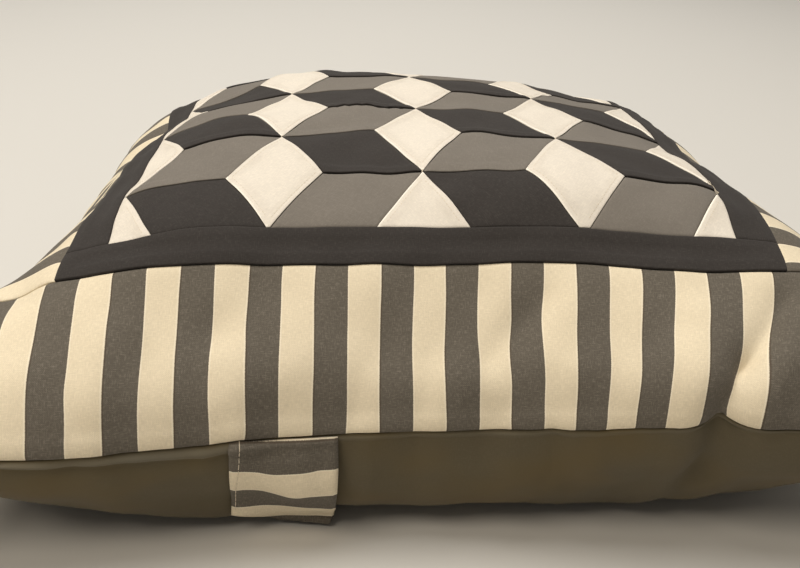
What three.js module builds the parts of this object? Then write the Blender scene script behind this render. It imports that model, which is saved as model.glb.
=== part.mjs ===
// A stuffed patchwork cushion cover lying on its back, in millimetres.
// +Z is up, +Y points away from the near edge, and the origin is below the middle of the cushion.

import * as THREE from "three";

// Flat sizes of the sewn cover, from its middle outwards
const diamondSide = 49;
const panelHalf = 3 * diamondSide;
const frameWidth = 20;
const borderWidth = 80;
const frameHalf = panelHalf + frameWidth;
const coverHalf = frameHalf + borderWidth;
const clothThickness = 2;
const clothGap = 0.3;

// Outline that the stuffing draws the seam into: each side's middle, and the corners
const outline = { left: 204, right: 211, near: 202, far: 207, corner: 238, bow: 2.36 };

// Height of the seam above the surface: its middle, and what its right side and corners add
const seamHeight = 66;
const seamRise = 8;
const seamTwist = -3;
const cornerLift = 7.5;

// The crown above the seam, flat on top and steep towards the sides
const crownHeight = 96;
const crownLean = -0.024;
const acrossProfile = { power: 3.55, knee: 0.99 };
const alongProfile = { power: 3.59, knee: 0.79 };
const cornerFullness = { nearLeft: 1.63, nearRight: 2.03, farLeft: 0.49, farRight: 0.52 };

// The back swells out under the seam at this angle, then turns under to its flat middle
const backSwell = THREE.MathUtils.degToRad(12);
const backTurn = seamHeight / (1 + Math.sin(backSwell));
const backBlend = 5;

// Places where the front is pulled out of its even shape: middle, reach both ways, and the pull
const frontPulls = [
  { at: [118, -165], reach: [45, 40], pull: [0, 0, -7.5] },
  { at: [140, -250], reach: [50, 45], pull: [-10, 0, 3] },
  { at: [141, -250], reach: [18, 18], pull: [-2, 0, 6] },
  { at: [60, 120], reach: [90, 60], pull: [-2, 0, -5] },
  { at: [-215, -110], reach: [45, 55], pull: [1, 0, -8] },
  { at: [-215, 0], reach: [45, 70], pull: [-2, 0, 3] },
  { at: [-240, -190], reach: [50, 60], pull: [-19, 3, 19] },
  { at: [-247, 247], reach: [70, 70], pull: [10, 0, -13] },
  { at: [-150, -250], reach: [70, 40], pull: [1.5, -9, 2.5] },
  { at: [215, -100], reach: [45, 60], pull: [7, 0.5, 2] },
  { at: [165, 20], reach: [45, 55], pull: [0, 0.5, 6] },
  { at: [0, 60], reach: [110, 60], pull: [-0.5, -9, 6] },
  { at: [235, -220], reach: [50, 50], pull: [-4, 3.5, 4] },
  { at: [-60, -60], reach: [80, 60], pull: [0, -4.5, 5] },
  { at: [90, -250], reach: [40, 30], pull: [-2.5, -5, 2] },
  { at: [95, 100], reach: [70, 60], pull: [-1, 3, -5] },
  { at: [-190, -150], reach: [34, 40], pull: [0, 4.5, -3] },
  { at: [-195, -95], reach: [34, 40], pull: [0, 5, -3.5] },
  { at: [-195, -40], reach: [34, 40], pull: [0, 1.5, -3] },
  { at: [-185, 20], reach: [34, 40], pull: [0, 1.5, -5] },
  { at: [200, -160], reach: [34, 40], pull: [0, 4.5, -1.5] },
  { at: [195, -100], reach: [34, 40], pull: [0, 2.5, -3.5] },
  { at: [145, -205], reach: [30, 34], pull: [0, 1, -3] },
];

// Smaller unevenness of the crown: how far each place of an even grid is pushed along and up
const crownGrid = { across: [-120, -40, 40, 120], along: [-110, -60, -5, 50, 105], reach: [48, 44] };
const crownShifts = [
  [[-2, -3], [1.5, -0.5], [-1.5, 1.5], [4, -7], [3.5, -2]],
  [[2.5, -3], [6.5, -4.5], [2.5, -1.5], [-2, -1.5], [-3, 0]],
  [[-6, 2.5], [3, -2.5], [-2, -1.5], [-6.5, -1], [-2, 0.5]],
  [[-1, -1], [-1, -1.5], [3, -4], [4.5, -5], [1.5, -1]],
];

// The back's corners lift off the surface, and its near side is uneven under the seam
const cornerRise = { nearLeft: 105, nearRight: 135, farLeft: 90, farRight: 90 };
const restReach = 0.06;
const backPulls = [
  { at: [-205, -212], reach: [50, 50], pull: [0, 2, 3] },
  { at: [-104, -188], reach: [44, 34], pull: [0, -2.5, -5] },
  { at: [0, -192], reach: [44, 44], pull: [0, -2.5, -2.5] },
  { at: [-76, -212], reach: [34, 22], pull: [0, 8.5, 1.5] },
  { at: [-66, -178], reach: [32, 24], pull: [0, 0, -5] },
  { at: [80, -195], reach: [45, 50], pull: [0, 3.5, 5] },
  { at: [145, -200], reach: [40, 45], pull: [0, 0.5, 3] },
  { at: [205, -215], reach: [45, 50], pull: [0, -4.5, -3.5] },
];

// Main folds of the front, each a soft trough or ridge from one flat point to another
const frontFolds = [
  { from: [160, -178], to: [146, -216], width: 12, rise: -3 },
  { from: [146, -216], to: [141, -246], width: 11, rise: -3.5 },
  { from: [126, -196], to: [125, -238], width: 14, rise: 2.5 },
  { from: [168, -190], to: [160, -240], width: 12, rise: 2.5 },
  { from: [56, -186], to: [32, -212], width: 10, rise: -2.5 },
  { from: [-86, -236], to: [-92, -214], width: 9, rise: 2 },
  { from: [-186, -170], to: [-232, -212], width: 14, rise: -3 },
  { from: [190, 176], to: [232, 222], width: 14, rise: -3 },
  { from: [-190, 180], to: [-228, 226], width: 14, rise: -3 },
  { from: [-178, 40], to: [-240, 52], width: 13, rise: -2.5 },
  { from: [180, -40], to: [240, -58], width: 13, rise: -2.5 },
  { from: [60, 184], to: [72, 240], width: 13, rise: -2.5 },
];

// Main folds of the back
const backFolds = [
  { from: [141, -240], to: [122, -205], width: 11, rise: -3 },
  { from: [226, -226], to: [160, -176], width: 16, rise: -4 },
  { from: [-226, -226], to: [-172, -168], width: 16, rise: -4 },
  { from: [226, 226], to: [166, 170], width: 16, rise: -4 },
  { from: [-226, 226], to: [-160, 176], width: 16, rise: -4 },
  { from: [-40, 240], to: [-26, 196], width: 14, rise: -3 },
];

// Striped tab: its sides at the near seam, where it starts and ends below it, and its end's swing to the left
const tabSides = { left: -85.5, right: -38.8 };
const tabTop = 0.6;
const tabLength = 64;
const tabSwing = -3;

// The tab arches off the back in its upper half, and the right of its end curls outwards
const tabArch = { rise: 4.5, across: 0.6, down: 23, reach: [0.42, 17] };
const tabCurl = { rise: 7, reach: 5 };
const tabGap = 0.7;
const tabColumns = 6;

// Mesh steps on the panel, a frame strip and a border, and the step that measures cloth lengths
const panelSteps = 18;
const frameSteps = 2;
const borderSteps = 9;
const measureStep = 2;

const clothColours = { cream: 0xe6dac4, grey: 0x7d766c, charcoal: 0x3f3b3b, stripe: 0x9c9182, taupe: 0x544a3c };

function profile(q, shape) {
  const bend = (x) => Math.log(1 + (x / shape.knee) ** shape.power);
  return 1 - bend(Math.abs(q)) / bend(1);
}

function seamAt(s, t) {
  return seamHeight + seamRise * s + seamTwist * s * t + cornerLift * s * s * t * t;
}

function quarter(u, v) {
  return (v < 0 ? "near" : "far") + (u < 0 ? "Left" : "Right");
}

function heightAt(u, v) {
  const s = u / coverHalf;
  const t = v / coverHalf;
  const corner = cornerFullness[quarter(u, v)];
  const fullness = 1 + crownLean * s + corner * s * s * t * t;
  return seamAt(s, t) + crownHeight * profile(s, acrossProfile) * profile(t, alongProfile) * fullness;
}

// Level distance that cloth covers from the middle to each line, keeping its length over the crown
function levelRuns(lines, height) {
  const runTo = (end) => {
    const steps = Math.ceil(Math.abs(end) / measureStep);
    const step = end / Math.max(1, steps);
    let run = 0;
    for (let k = 0; k < steps; k++) {
      const slope = (height((k + 1) * step) - height(k * step)) / step;
      run += step * Math.sqrt(Math.max(0.03, 1 - slope * slope));
    }
    return run;
  };
  return lines.map(runTo);
}

// Moves a row of runs so that its two ends meet the outline
function fitEnds(runs, lines, low, high) {
  const last = runs.length - 1;
  const shift = { low: low - runs[0], high: high - runs[last] };
  return runs.map((run, k) => {
    const q = lines[k] / coverHalf;
    return run + (q < 0 ? shift.low : shift.high) * Math.abs(q) ** 3;
  });
}

// Adds the pulls at a flat place, at a share of their full size
function addPulls(point, u, v, pulls, share) {
  for (const { at, reach, pull } of pulls) {
    const away = ((u - at[0]) / reach[0]) ** 2 + ((v - at[1]) / reach[1]) ** 2;
    point.addScaledVector(new THREE.Vector3(...pull), share * Math.exp(-away));
  }
  return point;
}

const crownPulls = crownGrid.across.flatMap((u, i) =>
  crownGrid.along.map((v, j) => ({ at: [u, v], reach: crownGrid.reach, pull: [0, ...crownShifts[i][j]] }))
);

function edgeAt(side, q) {
  return outline[side] + (outline.corner - outline[side]) * Math.abs(q) ** outline.bow;
}

function foldAt(u, v, folds) {
  let rise = 0;
  for (const fold of folds) {
    const [fromU, fromV] = fold.from;
    const alongU = fold.to[0] - fromU;
    const alongV = fold.to[1] - fromV;
    const share = ((u - fromU) * alongU + (v - fromV) * alongV) / (alongU ** 2 + alongV ** 2);
    const nearest = THREE.MathUtils.clamp(share, 0, 1);
    const distance = Math.hypot(u - fromU - nearest * alongU, v - fromV - nearest * alongV);
    rise += fold.rise * Math.exp(-((distance / fold.width) ** 2));
  }
  return rise;
}

function spread(from, to, steps) {
  return Array.from({ length: steps }, (_, k) => from + ((to - from) * k) / steps);
}

const gridLines = [
  ...spread(-coverHalf, -frameHalf, borderSteps),
  ...spread(-frameHalf, -panelHalf, frameSteps),
  ...spread(-panelHalf, panelHalf, panelSteps),
  ...spread(panelHalf, frameHalf, frameSteps),
  ...spread(frameHalf, coverHalf, borderSteps),
  coverHalf,
];
const lastLine = gridLines.length - 1;

function gridOf(point) {
  return gridLines.map((u, i) => gridLines.map((v, j) => point(u, v, i, j)));
}

// Unit normals of a grid of points, from the neighbours of each
function normalsOf(grid) {
  const pick = (i, j) => grid[THREE.MathUtils.clamp(i, 0, lastLine)][THREE.MathUtils.clamp(j, 0, lastLine)];
  return gridOf((u, v, i, j) => {
    const across = pick(i + 1, j).clone().sub(pick(i - 1, j));
    const along = pick(i, j + 1).clone().sub(pick(i, j - 1));
    return across.cross(along).normalize();
  });
}

function frontGrid() {
  const acrossRuns = gridLines.map((v) => {
    const q = v / coverHalf;
    const runs = levelRuns(gridLines, (u) => heightAt(u, v));
    return fitEnds(runs, gridLines, -edgeAt("left", q), edgeAt("right", q));
  });
  const alongRuns = gridLines.map((u) => {
    const q = u / coverHalf;
    const runs = levelRuns(gridLines, (v) => heightAt(u, v));
    return fitEnds(runs, gridLines, -edgeAt("near", q), edgeAt("far", q));
  });
  const even = gridOf((u, v, i, j) => {
    const point = new THREE.Vector3(acrossRuns[j][i], alongRuns[i][j], heightAt(u, v));
    return addPulls(point, u, v, [...frontPulls, ...crownPulls], 1);
  });
  const normals = normalsOf(even);
  return gridOf((u, v, i, j) => {
    return even[i][j].clone().addScaledVector(normals[i][j], foldAt(u, v, frontFolds));
  });
}

// The back's turn from the seam, as shares of the seam's height and of the half width
function backShares(q, halfWidth) {
  const inset = (1 - Math.abs(q)) * coverHalf;
  const turned = Math.min(inset / backTurn - backSwell, Math.PI / 2);
  const drop = (Math.sin(turned) + Math.sin(backSwell)) / (1 + Math.sin(backSwell));
  const curled = 1 - (backTurn * (Math.cos(backSwell) - Math.cos(turned))) / halfWidth;
  const flatStart = 1 - (backTurn * (Math.PI / 2 + backSwell)) / coverHalf;
  const flatPlace = 1 - (backTurn * Math.cos(backSwell)) / halfWidth;
  const place = Math.abs(q) < flatStart ? (Math.abs(q) / flatStart) * flatPlace : curled;
  return { drop, place: Math.sign(q) * place };
}

// Back skin: it shares the front's rim, and its level places are blended in from the four sides
function backGrid(front) {
  const rimAt = (i, j, q) => {
    const row = i === null ? front.map((column) => column[j]) : front[i];
    return interpolate(row, q * coverHalf);
  };
  const corners = [front[0][0], front[lastLine][0], front[0][lastLine], front[lastLine][lastLine]];
  const blendRims = (s, t) => {
    const left = (1 - s) / 2;
    const right = (1 + s) / 2;
    const near = (1 - t) / 2;
    const far = (1 + t) / 2;
    const weights = [left * near, right * near, left * far, right * far];
    const point = new THREE.Vector3();
    point.addScaledVector(rimAt(0, null, t), left).addScaledVector(rimAt(lastLine, null, t), right);
    point.addScaledVector(rimAt(null, 0, s), near).addScaledVector(rimAt(null, lastLine, s), far);
    corners.forEach((corner, k) => point.addScaledVector(corner, -weights[k]));
    return point;
  };
  const halfWidth = (outline.left + outline.right + outline.near + outline.far) / 4;
  return gridOf((u, v, i, j) => {
    if (i === 0 || j === 0 || i === lastLine || j === lastLine) return front[i][j].clone();
    const s = u / coverHalf;
    const t = v / coverHalf;
    const across = backShares(s, halfWidth);
    const along = backShares(t, halfWidth);
    const placeS = s + (across.place - s) * (1 - Math.abs(t) ** backBlend);
    const placeT = t + (along.place - t) * (1 - Math.abs(s) ** backBlend);
    const point = blendRims(placeS, placeT);
    const drop = across.drop * along.drop;
    const fold = foldAt(u, v, backFolds) * Math.min(1, (1 - drop) * 3);
    const towardsCorner = Math.max(0, s * s * t * t - restReach) * (1 - s ** 4) * (1 - t ** 4);
    point.z = point.z * (1 - drop) + cornerRise[quarter(u, v)] * towardsCorner - fold;
    const fromRim = coverHalf - Math.max(Math.abs(u), Math.abs(v));
    addPulls(point, u, v, backPulls, Math.min(1, (1 - drop) * 3) * Math.min(1, fromRim / 40));
    const underFront = front[i][j].z - Math.min(2, fromRim / 4);
    point.z = Math.max(0, Math.min(point.z, underFront));
    if (drop > 0.999 && towardsCorner === 0) point.z = 0;
    return point;
  });
}

// Point of a row of grid points at a flat place, in line with its two neighbours
function interpolate(row, place) {
  let k = gridLines.findIndex((line) => line > place) - 1;
  if (k < 0) k = place < gridLines[0] ? 0 : lastLine - 1;
  const share = (place - gridLines[k]) / (gridLines[k + 1] - gridLines[k]);
  return row[k].clone().lerp(row[k + 1], share);
}

function sampleGrid(grid, u, v) {
  return interpolate(grid.map((column) => interpolate(column, v)), u);
}

function solidFrom(points, faces) {
  const geometry = new THREE.BufferGeometry();
  const position = points.flatMap((point) => [point.x, point.y, point.z]);
  geometry.setAttribute("position", new THREE.Float32BufferAttribute(position, 3));
  geometry.setIndex(faces.flat());
  geometry.computeVertexNormals();
  return geometry;
}

// The two triangles of each cell of a numbered grid, seen from above or below
function cellFaces(numberAt, columns, rows, up) {
  const faces = [];
  for (let i = 0; i + 1 < columns; i++) {
    for (let j = 0; j + 1 < rows; j++) {
      const [a, b, c, d] = [numberAt(i, j), numberAt(i + 1, j), numberAt(i + 1, j + 1), numberAt(i, j + 1)];
      faces.push(...(up ? [[a, b, c], [a, c, d]] : [[a, c, b], [a, d, c]]));
    }
  }
  return faces;
}

// The filled cushion: front and back skins that share their rim
function filledCushion(front, back) {
  const points = [];
  const numbers = { front: [], back: [] };
  gridOf((u, v, i, j) => {
    const onRim = i === 0 || j === 0 || i === lastLine || j === lastLine;
    const number = i * (lastLine + 1) + j;
    numbers.front[number] = points.push(front[i][j]) - 1;
    numbers.back[number] = onRim ? numbers.front[number] : points.push(back[i][j]) - 1;
  });
  const numberIn = (side) => (i, j) => numbers[side][i * (lastLine + 1) + j];
  const size = lastLine + 1;
  return solidFrom(points, [
    ...cellFaces(numberIn("front"), size, size, true),
    ...cellFaces(numberIn("back"), size, size, false),
  ]);
}

// A sheet between two grids of points of the same size, closed round its edge
function sheetBetween(inner, outer) {
  const columns = outer.length;
  const rows = outer[0].length;
  const points = [...outer.flat(), ...inner.flat()];
  const outerAt = (i, j) => i * rows + j;
  const innerAt = (i, j) => columns * rows + i * rows + j;
  const faces = [
    ...cellFaces(outerAt, columns, rows, true),
    ...cellFaces(innerAt, columns, rows, false),
  ];
  const rim = [];
  for (let i = 0; i < columns - 1; i++) rim.push([i, 0]);
  for (let j = 0; j < rows - 1; j++) rim.push([columns - 1, j]);
  for (let i = columns - 1; i > 0; i--) rim.push([i, rows - 1]);
  for (let j = rows - 1; j > 0; j--) rim.push([0, j]);
  rim.forEach((here, k) => {
    const next = rim[(k + 1) % rim.length];
    faces.push([outerAt(...here), innerAt(...here), innerAt(...next)]);
    faces.push([outerAt(...here), innerAt(...next), outerAt(...next)]);
  });
  return solidFrom(points, faces);
}

// Both ends of a stretch, and the grid lines inside it
function linesBetween(from, to) {
  return [from, ...gridLines.filter((line) => line > from + 1 && line < to - 1), to];
}

// A cut panel of the front between flat lines, lying on the filled cushion
function frontPanel(front, normals, acrossEdges, alongEdges) {
  const inset = (edge) => (Math.abs(edge) === coverHalf ? clothGap : clothGap / 2);
  const cutLines = ([from, to]) => linesBetween(from + inset(from), to - inset(to));
  const layer = (lift) =>
    cutLines(acrossEdges).map((u) =>
      cutLines(alongEdges).map((v) =>
        sampleGrid(front, u, v).addScaledVector(sampleGrid(normals, u, v).normalize(), lift)
      )
    );
  return sheetBetween(layer(clothGap), layer(clothGap + clothThickness));
}

// Flat place across a row of the back that lies a level distance from the middle
function placeAcross(back, x, v) {
  let u = x;
  for (let k = 0; k < 10; k++) u += x - sampleGrid(back, u, v).x;
  return u;
}

// Height of the tab over the back, at a share of its width and a distance below the seam
function tabHang(across, down) {
  const sideways = (across - tabArch.across) / tabArch.reach[0];
  const downwards = (down - tabArch.down) / tabArch.reach[1];
  const arch = tabArch.rise * Math.exp(-(sideways ** 2) - downwards ** 2) * Math.min(1, down / 10);
  return arch + tabCurl.rise * across * Math.exp((down - tabLength) / tabCurl.reach);
}

// The doubled tab, from the near seam straight down over the back
function stripedTab(back) {
  const normals = normalsOf(back);
  const shares = [...spread(0, 1, tabColumns), 1];
  const layer = (lift) =>
    shares.map((across) =>
      linesBetween(tabTop - coverHalf, tabLength - coverHalf).map((v) => {
        const down = v + coverHalf;
        const atSeam = THREE.MathUtils.lerp(tabSides.left, tabSides.right, across);
        const u = placeAcross(back, atSeam + tabSwing * (down / tabLength) ** 2, v);
        const outward = sampleGrid(normals, u, v).normalize().negate();
        return sampleGrid(back, u, v).addScaledVector(outward, lift + tabHang(across, down));
      })
    );
  return sheetBetween(layer(tabGap + clothThickness), layer(tabGap));
}

function clothMesh(name, geometry, colour) {
  const material = new THREE.MeshStandardMaterial({ color: colour, roughness: 0.9, metalness: 0 });
  const mesh = new THREE.Mesh(geometry, material);
  mesh.name = name;
  return mesh;
}

const front = frontGrid();
const frontNormals = normalsOf(front);
const back = backGrid(front);
const group = new THREE.Group();

group.add(clothMesh("filled_cushion", filledCushion(front, back), clothColours.taupe));

const across = { full: [-coverHalf, coverHalf], frame: [-frameHalf, frameHalf], panel: [-panelHalf, panelHalf] };
const strips = {
  near: { border: [-coverHalf, -frameHalf], frame: [-frameHalf, -panelHalf] },
  far: { border: [frameHalf, coverHalf], frame: [panelHalf, frameHalf] },
};
const panels = [
  { name: "patchwork_panel", u: across.panel, v: across.panel, colour: clothColours.grey },
  { name: "frame_strip_near", u: across.frame, v: strips.near.frame, colour: clothColours.charcoal },
  { name: "frame_strip_far", u: across.frame, v: strips.far.frame, colour: clothColours.charcoal },
  { name: "frame_strip_left", u: strips.near.frame, v: across.panel, colour: clothColours.charcoal },
  { name: "frame_strip_right", u: strips.far.frame, v: across.panel, colour: clothColours.charcoal },
  { name: "border_near", u: across.full, v: strips.near.border, colour: clothColours.stripe },
  { name: "border_far", u: across.full, v: strips.far.border, colour: clothColours.stripe },
  { name: "border_left", u: strips.near.border, v: across.frame, colour: clothColours.stripe },
  { name: "border_right", u: strips.far.border, v: across.frame, colour: clothColours.stripe },
];
for (const panel of panels) {
  group.add(clothMesh(panel.name, frontPanel(front, frontNormals, panel.u, panel.v), panel.colour));
}
group.add(clothMesh("striped_tab", stripedTab(back), clothColours.cream));

// The origin goes under the middle of the whole cushion
const box = new THREE.Box3().setFromObject(group);
group.position.set(-(box.min.x + box.max.x) / 2, -(box.min.y + box.max.y) / 2, -box.min.z);

export default group;
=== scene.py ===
# Looks of a stuffed patchwork cushion cover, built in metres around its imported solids.
# Shapes are worked out in millimetres on the flat cut cloth (u across, v along), then laid on the cushion.

import math

import bpy
import numpy as np
from mathutils import Matrix, Vector


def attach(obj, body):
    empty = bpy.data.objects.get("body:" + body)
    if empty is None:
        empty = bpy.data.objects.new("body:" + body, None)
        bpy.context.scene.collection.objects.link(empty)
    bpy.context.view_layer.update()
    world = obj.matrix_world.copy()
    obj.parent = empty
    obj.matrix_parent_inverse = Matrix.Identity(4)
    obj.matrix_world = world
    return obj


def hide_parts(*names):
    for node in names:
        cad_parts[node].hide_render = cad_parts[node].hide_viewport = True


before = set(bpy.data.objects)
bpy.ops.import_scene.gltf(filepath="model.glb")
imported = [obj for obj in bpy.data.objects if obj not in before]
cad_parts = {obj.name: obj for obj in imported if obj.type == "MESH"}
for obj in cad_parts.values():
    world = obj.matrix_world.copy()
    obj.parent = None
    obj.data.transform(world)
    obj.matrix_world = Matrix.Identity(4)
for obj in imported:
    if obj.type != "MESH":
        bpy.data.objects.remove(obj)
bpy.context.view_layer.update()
print("frame loaded")

mm = 0.001

# The filled cover. Lengths across and along count from the middle of the flat cloth.
cover = {
    "half": 247.0, "frameHalf": 167.0, "panelHalf": 147.0, "diamondSide": 49.0,
    # half the filled width at the middle of each side, the corners' reach, and how the sides bow between them
    "outline": {"left": 204.0, "right": 211.0, "near": 202.0, "far": 207.0}, "corner": 238.0, "bow": 2.36,
    "edgePower": 3,     # how much of the drawing-in lies close to the edge
    # the outer seam's height, how it rises to the right and twists, and how its corners lift
    "seamHeight": 66.0, "seamRise": 8.0, "seamTwist": -3.0, "cornerLift": 7.5,
    # the crown above the seam, its lean, power and knee of its profile, and its fullness by the corners
    "crown": 96.0, "lean": -0.024, "crownAcross": (3.55, 0.99), "crownAlong": (3.59, 0.79),
    "fullness": {"nearLeft": 1.63, "nearRight": 2.03, "farLeft": 0.49, "farRight": 0.52},
    "leastRun": 0.03,   # keeps the steepest cloth from standing upright
    # the back swells out below the seam, and its corners rise from the surface that it lies on
    "backSwell": math.radians(12), "backBlend": 5,
    "cornerRise": {"nearLeft": 105, "nearRight": 135, "farLeft": 90, "farRight": 90}, "restReach": 0.06,
    "underFront": 2, "underFrontSlope": 0.25,   # how far the back stays below the front, from the seam inwards
    "middle": (3.67, 0.12, 0),    # where the middle of the flat cloth lies in the frame
    "lattice": 249,     # points each way of the shape that everything is laid on, 2 mm apart
    "clothTop": 2.3, "clothUnder": 0.35,    # outer and inner face of the cloth above the filling
}

relief = {
    # small gathers that run in from the outer seam, how high they are, and soft lumps: size, wavelength and seed
    "puckers": {"seed": 5, "margin": 6, "every": (10, 22), "reach": (14, 42), "skew": 0.25,
                "width": (3.5, 6.5)},
    "frontPuckers": (0.25, 0.95), "backPuckers": (0.2, 0.7),
    "frontLumps": [(0.9, 74, 3), (0.28, 27, 4)], "backLumps": [(0.7, 66, 8)],
    # how far from the outer seam lumps, pulls and folds reach their full size, and how fast they end at rest
    "lumpMargin": 30, "pullMargin": 40, "foldMargin": 3, "restFade": 3,
}

# Places where the cover is pulled out of its even shape: middle, reach both ways, and the pull
frontPulls = [
    (118, -165, 45, 40, (0, 0, -7.5)), (140, -250, 50, 45, (-10, 0, 3)), (60, 120, 90, 60, (-2, 0, -5)),
    (-215, -110, 45, 55, (1, 0, -8)), (-215, 0, 45, 70, (-2, 0, 3)), (-240, -190, 50, 60, (-19, 3, 19)),
    (-247, 247, 70, 70, (10, 0, -13)), (-150, -250, 70, 40, (1.5, -9, 2.5)), (215, -100, 45, 60, (7, 0.5, 2)),
    (165, 20, 45, 55, (0, 0.5, 6)), (0, 60, 110, 60, (-0.5, -9, 6)), (235, -220, 50, 50, (-4, 3.5, 4)),
    (-60, -60, 80, 60, (0, -4.5, 5)), (90, -250, 40, 30, (-2.5, -5, 2)), (95, 100, 70, 60, (-1, 3, -5)),
    (-190, -150, 34, 40, (0, 4.5, -3)), (-195, -95, 34, 40, (0, 5, -3.5)), (-195, -40, 34, 40, (0, 1.5, -3)),
    (-185, 20, 34, 40, (0, 1.5, -5)), (200, -160, 34, 40, (0, 4.5, -1.5)), (195, -100, 34, 40, (0, 2.5, -3.5)),
    (145, -205, 30, 34, (0, 1, -3)), (75, -207, 80, 28, (-1.8, 0, 0)), (165, -247, 24, 34, (-4, 0, 0)),
    (-166, 46, 16, 26, (4, 0, -2.5)), (-142, 122, 38, 50, (0, 0, -5)),
    (-85, -222, 95, 17, (0, -3.6, 2.3)), (85, -222, 95, 17, (0, -3.6, 2.3)),
    (-73, -65, 20, 16, (0, 0, -2.5)), (-24, -65, 20, 16, (0, 0, 2.2)), (-97, -23, 20, 16, (0, 0, -2)),
    (23, 20, 20, 16, (0, 0, 1.5)), (0, 62, 20, 16, (0, 0, -1.5)), (-73, 105, 20, 18, (0, 0, 1.5)),
]
crownShifts = [    # how far an even grid of places is pushed along and up, column by column from the left
    [(-2, -3), (1.5, -0.5), (-1.5, 1.5), (4, -7), (3.5, -2)],
    [(2.5, -3), (6.5, -4.5), (2.5, -1.5), (-2, -1.5), (-3, 0)],
    [(-6, 2.5), (3, -2.5), (-2, -1.5), (-6.5, -1), (-2, 0.5)],
    [(-1, -1), (-1, -1.5), (3, -4), (4.5, -5), (1.5, -1)],
]
crownGrid = {"across": (-120, -40, 40, 120), "along": (-110, -60, -5, 50, 105), "reach": (48, 44)}
for column, u in zip(crownShifts, crownGrid["across"]):
    frontPulls += [(u, v, *crownGrid["reach"], (0, *shift)) for shift, v in zip(column, crownGrid["along"])]
backPulls = [
    (-205, -212, 50, 50, (0, 2, 3)), (-104, -188, 44, 34, (0, -2.5, -5)), (0, -192, 44, 44, (0, -2.5, -2.5)),
    (-76, -212, 34, 22, (0, 8.5, 1.5)), (-66, -178, 32, 24, (0, 0, -5)), (80, -195, 45, 50, (0, 3.5, 5)),
    (145, -200, 40, 45, (0, 0.5, 3)), (205, -215, 45, 50, (0, -4.5, -3.5)),
    (-190, -190, 20, 26, (0, -1.5, -4.0)), (-140, -190, 24, 26, (0, 1, 2.6)),
    (30, -185, 50, 24, (0, -0.5, -1)), (88, -177, 15, 24, (0, 1.5, 3.4)), (122, -175, 11, 24, (0, -2.5, -4.8)),
    (148, -175, 12, 24, (0, 1, 3.4)), (192, -176, 24, 26, (0, -3, -5)),
]
seamPinches = [    # middle, reach both ways, rise
    (141, -247, 8, 22, 7.0), (57, -247, 5, 12, 1.2), (-83, -247, 7, 12, 1.8),
]

# Folds of the front and of the back: from, to, width, rise
frontFolds = [
    (165, -187, 149, -218, 9.0, -5.2), (149, -218, 141, -243, 7.5, -4.0), (127, -194, 129, -236, 12, 3.2),
    (172, -188, 160, -238, 11, 2.6), (56, -186, 30, -214, 9, -2.6), (-84, -240, -92, -214, 8, 2.2),
    (-186, -170, -232, -212, 13, -3.2), (190, 176, 232, 222, 13, -3.2), (-190, 180, -228, 226, 13, -3.2),
    (-178, 40, -240, 52, 12, -2.6), (180, -40, 240, -58, 12, -2.6), (60, 184, 72, 240, 12, -2.6),
    (-160, -220, -148, -236, 4, -0.9), (-30, -238, -20, -206, 9, -1.3), (8, -240, 20, -212, 8, 1.3),
    (34, -242, 40, -222, 6, -1.2), (50, -240, 46, -220, 5, 1.1), (-120, -196, -128, -236, 11, -1.2),
    (92, -240, 86, -204, 9, -1.3), (-200, -200, -214, -236, 8, 1.5), (208, -196, 224, -232, 8, -1.6),
    (190, 40, 238, 30, 11, -2.0), (182, 108, 240, 120, 12, -2.2), (-182, -60, -240, -72, 12, -2.2),
    (-180, 118, -240, 106, 12, -2.2), (-60, 182, -66, 240, 12, -2.2), (-128, 184, -140, 238, 11, -2.0),
    (0, 184, 6, 240, 12, 1.6), (128, 184, 136, 238, 11, -2.0), (-174, 40, -158, 30, 7, -2.2),
]
backFolds = [
    (142, -243, 128, -208, 7.5, -3.2), (150, -243, 158, -214, 7, 1.6), (226, -226, 160, -176, 14, -4),
    (-226, -226, -172, -168, 14, -4), (226, 226, 166, 170, 14, -4), (-226, 226, -160, 176, 14, -4),
    (-40, 240, -26, 196, 12, -3), (58, -244, 68, -206, 7, -1.4), (40, -240, 44, -200, 10, 1.2),
    (-8, -240, -14, -196, 9, -1.2), (-150, -240, -140, -196, 10, -1.6), (206, -240, 190, -204, 8, -1.8),
]


def profile(q, power, knee):
    return 1 - np.log(1 + (np.abs(q) / knee) ** power) / math.log(1 + (1 / knee) ** power)


def byQuarter(s, t, values):
    near = np.where(s < 0, values["nearLeft"], values["nearRight"])
    far = np.where(s < 0, values["farLeft"], values["farRight"])
    return np.where(t < 0, near, far)


def heightAt(u, v):
    s, t = u / cover["half"], v / cover["half"]
    full = 1 + cover["lean"] * s + byQuarter(s, t, cover["fullness"]) * s * s * t * t
    seam = cover["seamHeight"] + cover["seamRise"] * s + cover["seamTwist"] * s * t
    seam = seam + cover["cornerLift"] * s * s * t * t
    crown = profile(s, *cover["crownAcross"]) * profile(t, *cover["crownAlong"])
    return seam + cover["crown"] * crown * full


# Level distance of each point from the middle line, so that cloth keeps its length over the crown
def levelRuns(height, axis, step):
    slope = np.diff(height, axis=axis) / step
    run = np.cumsum(step * np.sqrt(np.maximum(cover["leastRun"], 1 - slope * slope)), axis=axis)
    run = np.concatenate([np.zeros_like(np.take(run, [0], axis)), run], axis)
    return run - np.take(run, [cover["lattice"] // 2], axis)


def edgeAt(side, q):
    middle = cover["outline"][side]
    return middle + (cover["corner"] - middle) * np.abs(q) ** cover["bow"]


def pulled(grid, pulls, share=1.0):
    for u, v, reachU, reachV, pull in pulls:
        away = ((latticeU - u) / reachU) ** 2 + ((latticeV - v) / reachV) ** 2
        grid = grid + (share * np.exp(-away))[..., None] * np.array(pull)
    return grid


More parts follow.
